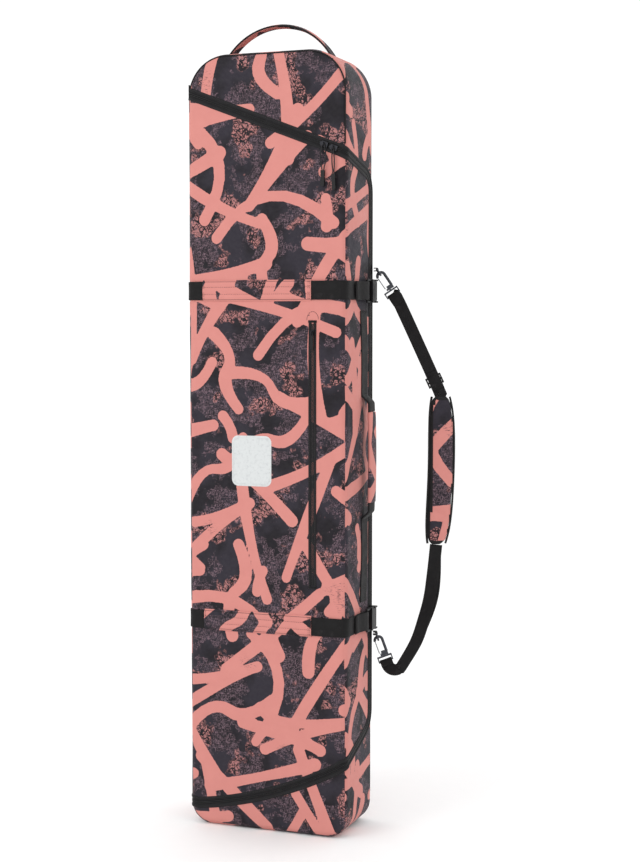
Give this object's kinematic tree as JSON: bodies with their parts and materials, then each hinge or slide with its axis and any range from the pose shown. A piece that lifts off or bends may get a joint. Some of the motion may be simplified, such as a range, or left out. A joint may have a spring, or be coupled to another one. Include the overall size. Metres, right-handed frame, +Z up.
{
  "type": "snowboard bag",
  "caption": "Padded snowboard bag with a zip-round front door, compression straps with release buckles, a pocket, carry handles and a clip-on shoulder strap.",
  "frame": {"origin": "middle of the flat base that the bag stands on, level with the bottom of the base", "axes": "+Z up the bag's length, the front faces -Y, +X to the right seen from the front"},
  "size_m": [0.5179, 0.2306, 1.6653],
  "materials": {
    "print_fabric": "printed woven",
    "foam": "matt",
    "lining": "woven",
    "zip_tape": "woven",
    "zip_coil": "satin",
    "slider_metal": "gloss",
    "cord": "braided",
    "moulded_rubber": "satin",
    "webbing": "ribbed",
    "buckle_plastic": "satin",
    "dark_metal": "gloss",
    "bright_wire": "polished",
    "badge_print": "matt"
  },
  "bodies": {
    "shell": {"back_panel": "print_fabric", "top_gusset": "print_fabric", "bottom_gusset": "print_fabric", "front_top_panel": "print_fabric", "front_bottom_panel": "print_fabric", "back_foam": "foam", "top_foam": "foam", "bottom_foam": "foam", "shell_lining": "lining", "shell_zip_tape": "zip_tape", "shell_zip_coil": "zip_coil", "upper_anchor_web": "webbing", "lower_anchor_web": "webbing", "upper_socket": "buckle_plastic", "lower_socket": "buckle_plastic", "top_handle_ends": "print_fabric", "ring_tabs": "webbing"},
    "door": {"front_panel": "print_fabric", "left_gusset": "print_fabric", "right_gusset": "print_fabric", "door_foam": "foam", "door_lining": "lining", "door_zip_tape": "zip_tape", "door_zip_coil": "zip_coil", "pocket_zip_tape": "zip_tape", "pocket_zip_coil": "zip_coil", "pocket_pouch": "lining", "upper_strap": "webbing", "lower_strap": "webbing", "strap_sleeves": "print_fabric", "side_grip_web": "webbing", "badge": "badge_print"},
    "slider_left": {"slider_left": "slider_metal"},
    "slider_right": {"slider_right": "slider_metal"},
    "pull_left": {"pull_cord_left": "cord", "pull_tip_left": "moulded_rubber"},
    "pull_right": {"pull_cord_right": "cord", "pull_tip_right": "moulded_rubber"},
    "pocket_slider": {"pocket_slider": "slider_metal"},
    "pocket_pull": {"pocket_pull": "moulded_rubber"},
    "upper_plug": {"upper_plug": "buckle_plastic", "upper_tail": "webbing"},
    "lower_plug": {"lower_plug": "buckle_plastic", "lower_tail": "webbing"},
    "upper_arm_high": {"upper_plug_arm_high": "buckle_plastic"},
    "upper_arm_low": {"upper_plug_arm_low": "buckle_plastic"},
    "lower_arm_high": {"lower_plug_arm_high": "buckle_plastic"},
    "lower_arm_low": {"lower_plug_arm_low": "buckle_plastic"},
    "top_handle": {"top_handle": "print_fabric"},
    "side_grip": {"side_grip": "print_fabric"},
    "shoulder_strap": {"ring_loops": "webbing", "rings": "dark_metal", "swivel_eyes": "dark_metal", "shoulder_webbing": "webbing", "strap_adjuster": "buckle_plastic", "shoulder_pad": "print_fabric"},
    "upper_hook": {"upper_hook": "dark_metal"},
    "lower_hook": {"lower_hook": "dark_metal"},
    "upper_gate": {"upper_gate": "bright_wire"},
    "lower_gate": {"lower_gate": "bright_wire"}
  },
  "joints": [
    {"name": "door_open", "type": "hinge", "parent": "shell", "child": "door", "pos_m": [-0.175, 0.065, 0.8], "axis": [0, 0, -1], "range_deg": [0, 120]},
    {"name": "slider_left_run", "type": "slide", "parent": "door", "child": "slider_left", "axis": [-0.9339, 0, 0.3575], "range_m": [0, 0.29]},
    {"name": "slider_right_run", "type": "slide", "parent": "door", "child": "slider_right", "axis": [0.9339, 0, -0.3575], "range_m": [0, 0.004]},
    {"name": "pull_left_swing", "type": "hinge", "parent": "slider_left", "child": "pull_left", "pos_m": [0.128, -0.0857, 1.40899], "axis": [-1, 0, 0], "range_deg": [0, 140]},
    {"name": "pull_right_swing", "type": "hinge", "parent": "slider_right", "child": "pull_right", "pos_m": [0.148, -0.0857, 1.40134], "axis": [-1, 0, 0], "range_deg": [0, 140]},
    {"name": "pocket_slider_run", "type": "slide", "parent": "door", "child": "pocket_slider", "axis": [0, 0, -1], "range_m": [0, 0.5]},
    {"name": "pocket_pull_swing", "type": "hinge", "parent": "pocket_slider", "child": "pocket_pull", "pos_m": [0.103, -0.0864, 1.034], "axis": [-1, 0, 0], "range_deg": [0, 140]},
    {"name": "top_handle_tip", "type": "hinge", "parent": "shell", "child": "top_handle", "pos_m": [0, 0, 1.61184], "axis": [1, 0, 0], "range_deg": [-40, 40]},
    {"name": "side_grip_pull", "type": "slide", "parent": "door", "child": "side_grip", "axis": [1, 0, 0], "range_m": [0, 0.02]},
    {"name": "upper_buckle_release", "type": "slide", "parent": "shell", "child": "upper_plug", "axis": [0, -1, 0], "range_m": [0, 0.03]},
    {"name": "upper_arm_high_squeeze", "type": "hinge", "parent": "upper_plug", "child": "upper_arm_high", "pos_m": [0.1835, 0.0475, 1.1305], "axis": [-1, 0, 0], "range_deg": [0, 9], "stiffness_Nm_per_rad": 0.2},
    {"name": "upper_arm_low_squeeze", "type": "hinge", "parent": "upper_plug", "child": "upper_arm_low", "pos_m": [0.1835, 0.0475, 1.1075], "axis": [1, 0, 0], "range_deg": [0, 9], "stiffness_Nm_per_rad": 0.2},
    {"name": "lower_buckle_release", "type": "slide", "parent": "shell", "child": "lower_plug", "axis": [0, -1, 0], "range_m": [0, 0.03]},
    {"name": "lower_arm_high_squeeze", "type": "hinge", "parent": "lower_plug", "child": "lower_arm_high", "pos_m": [0.1835, 0.0475, 0.4475], "axis": [-1, 0, 0], "range_deg": [0, 9], "stiffness_Nm_per_rad": 0.2},
    {"name": "lower_arm_low_squeeze", "type": "hinge", "parent": "lower_plug", "child": "lower_arm_low", "pos_m": [0.1835, 0.0475, 0.4245], "axis": [1, 0, 0], "range_deg": [0, 9], "stiffness_Nm_per_rad": 0.2},
    {"name": "shoulder_strap_swing", "type": "hinge", "parent": "shell", "child": "shoulder_strap", "pos_m": [0.17874, 0.07281, 0.7825], "axis": [0, 0, 1], "range_deg": [-10, 28]},
    {"name": "upper_hook_swivel", "type": "hinge", "parent": "shoulder_strap", "child": "upper_hook", "pos_m": [0.21012, 0.08486, 1.12454], "axis": [0.5221, 0.2004, -0.829], "range_deg": [-15, 15]},
    {"name": "upper_gate_open", "type": "hinge", "parent": "upper_hook", "child": "upper_gate", "pos_m": [0.20153, 0.08156, 1.12388], "axis": [-0.3584, 0.9336, 0], "range_deg": [0, 18], "stiffness_Nm_per_rad": 0.05},
    {"name": "lower_hook_swivel", "type": "hinge", "parent": "shoulder_strap", "child": "lower_hook", "pos_m": [0.20047, 0.08115, 0.35627], "axis": [0.3193, 0.1226, -0.9397], "range_deg": [-15, 15]},
    {"name": "lower_gate_open", "type": "hinge", "parent": "lower_hook", "child": "lower_gate", "pos_m": [0.19198, 0.07789, 0.35786], "axis": [-0.3584, 0.9336, 0], "range_deg": [0, 18], "stiffness_Nm_per_rad": 0.05}
  ]
}
